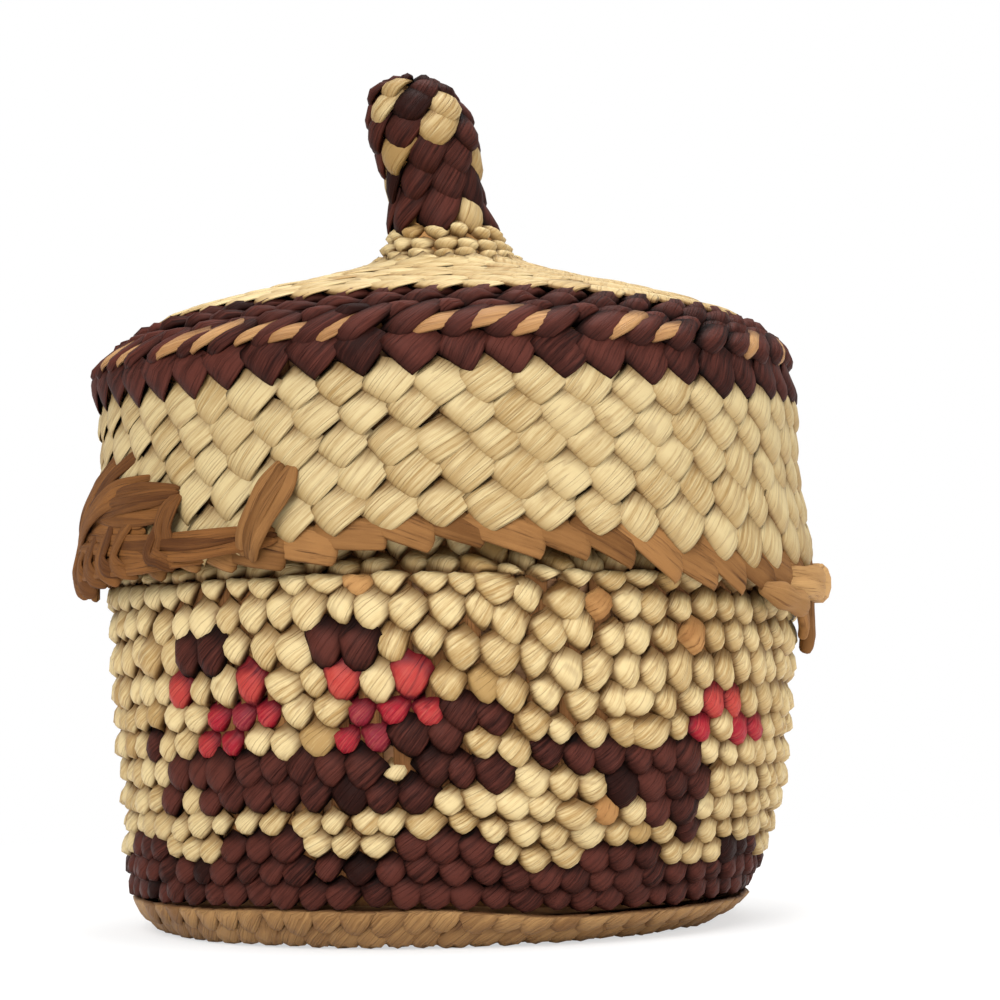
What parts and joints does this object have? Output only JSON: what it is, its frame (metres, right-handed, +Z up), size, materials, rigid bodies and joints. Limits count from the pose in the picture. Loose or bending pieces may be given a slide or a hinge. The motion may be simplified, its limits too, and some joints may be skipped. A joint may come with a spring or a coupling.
{
  "type": "miniature lidded basket",
  "caption": "Small round basket of grass wrapped over bark strips, with a patterned wall, a foot, a neck, and a lift-off lid with a skirt and an upright knob.",
  "frame": {"origin": "middle of the foot's flat underside, on the surface that the basket stands on", "axes": "+Z up through the knob's foot, -Y to the side that the picture shows, +X to its right"},
  "size_m": [0.0542, 0.0528, 0.0614],
  "materials": {
    "natural_grass": "dry flattened grass with a soft silky sheen",
    "dark_grass": "grass dyed dark purplish brown, soft sheen",
    "red_grass": "grass dyed coral and crimson, faded in places",
    "tan_grass": "tan undyed strand",
    "cedar_bark": "dry fibrous bark strip, matt",
    "worn_bark": "darkened, frayed bark strip, matt"
  },
  "bodies": {
    "basket": {"foot_course": "natural_grass", "base_courses": "natural_grass", "base_mat_strips_across": "cedar_bark", "base_mat_strips_along": "cedar_bark", "wall_warps": "cedar_bark", "wall_wefts": "cedar_bark", "wall_natural_stitches": "natural_grass", "sea_stitches": "dark_grass", "canoe_stitches": "dark_grass", "paddler_head_stitches": "dark_grass", "paddler_stitches": "red_grass", "whale_stitches": "dark_grass", "float_stitches": "red_grass", "cedar_stitches": "cedar_bark", "neck_courses": "natural_grass", "rim_binding": "natural_grass"},
    "lid": {"lid_wefts": "cedar_bark", "lid_warps": "cedar_bark", "lid_natural_stitches": "natural_grass", "lid_dark_stitches": "dark_grass", "hem_bark_strips": "cedar_bark", "shoulder_twist": "dark_grass", "shoulder_tan_plies": "tan_grass", "top_dark_courses": "dark_grass", "top_natural_courses": "natural_grass", "knob_core": "cedar_bark", "knob_collar": "natural_grass", "knob_dark_stitches": "dark_grass", "knob_natural_stitches": "natural_grass", "hem_repair_band": "worn_bark", "hem_lashing": "worn_bark", "frayed_bark_loops": "worn_bark", "hem_knots": "worn_bark", "hanging_bark_tail": "worn_bark"}
  },
  "joints": [
    {"name": "lid_lift", "type": "slide", "parent": "basket", "child": "lid", "axis": [0, 0, 1], "range_m": [0, 0.03]}
  ]
}
